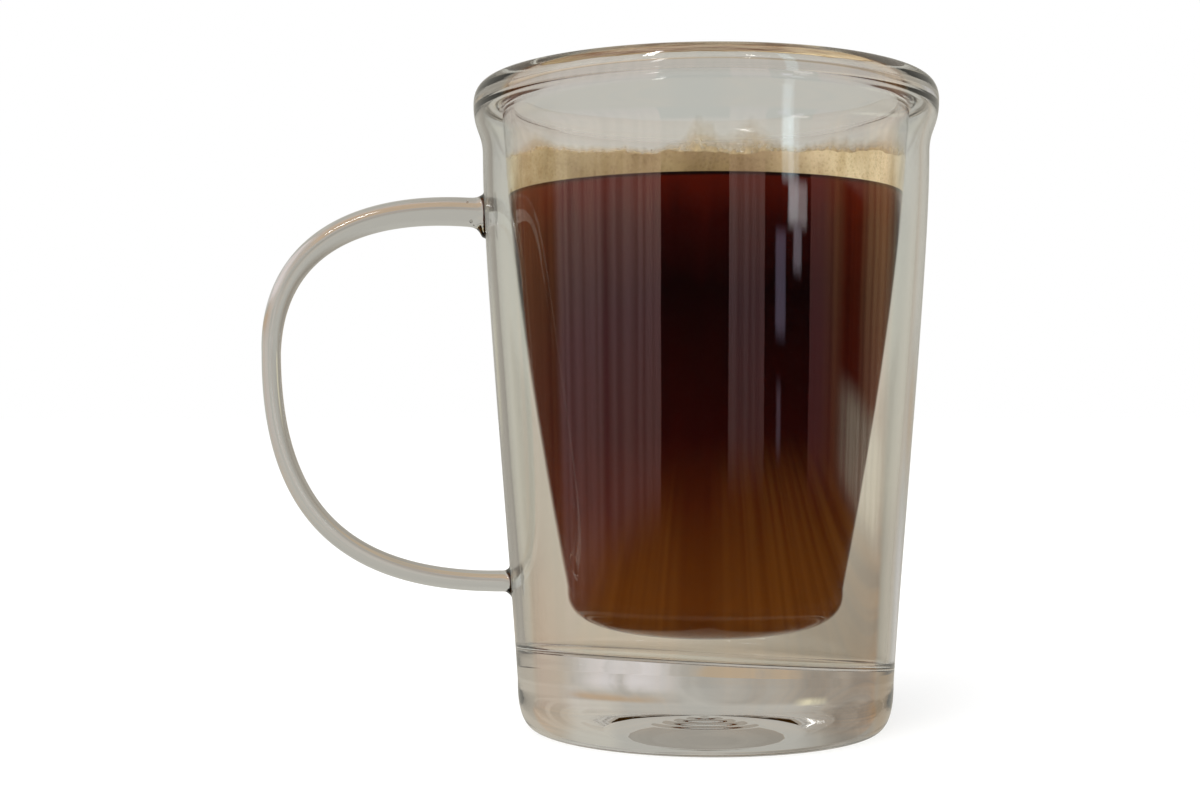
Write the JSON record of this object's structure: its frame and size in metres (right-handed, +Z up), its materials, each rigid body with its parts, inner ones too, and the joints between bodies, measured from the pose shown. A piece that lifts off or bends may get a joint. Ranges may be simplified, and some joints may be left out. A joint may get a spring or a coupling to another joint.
{
  "type": "americano",
  "caption": "Double-walled clear glass mug with a rod handle, filled with black coffee under a thin ragged crema.",
  "frame": {"origin": "on the table plane, under the middle of the whole length from the lip to the handle; the mug's own axis stands at x = +0.0208", "axes": "+Z up along the mug's axis, handle towards -X, the picture's view looks along +Y"},
  "size_m": [0.132, 0.0904, 0.125],
  "materials": {
    "clear_glass": "polished clear glass",
    "black_coffee": "dark liquid behind glass",
    "crema": "fine tan foam"
  },
  "bodies": {
    "root": {"glass_mug": "clear_glass", "coffee": "black_coffee", "crema": "crema"}
  },
  "joints": []
}
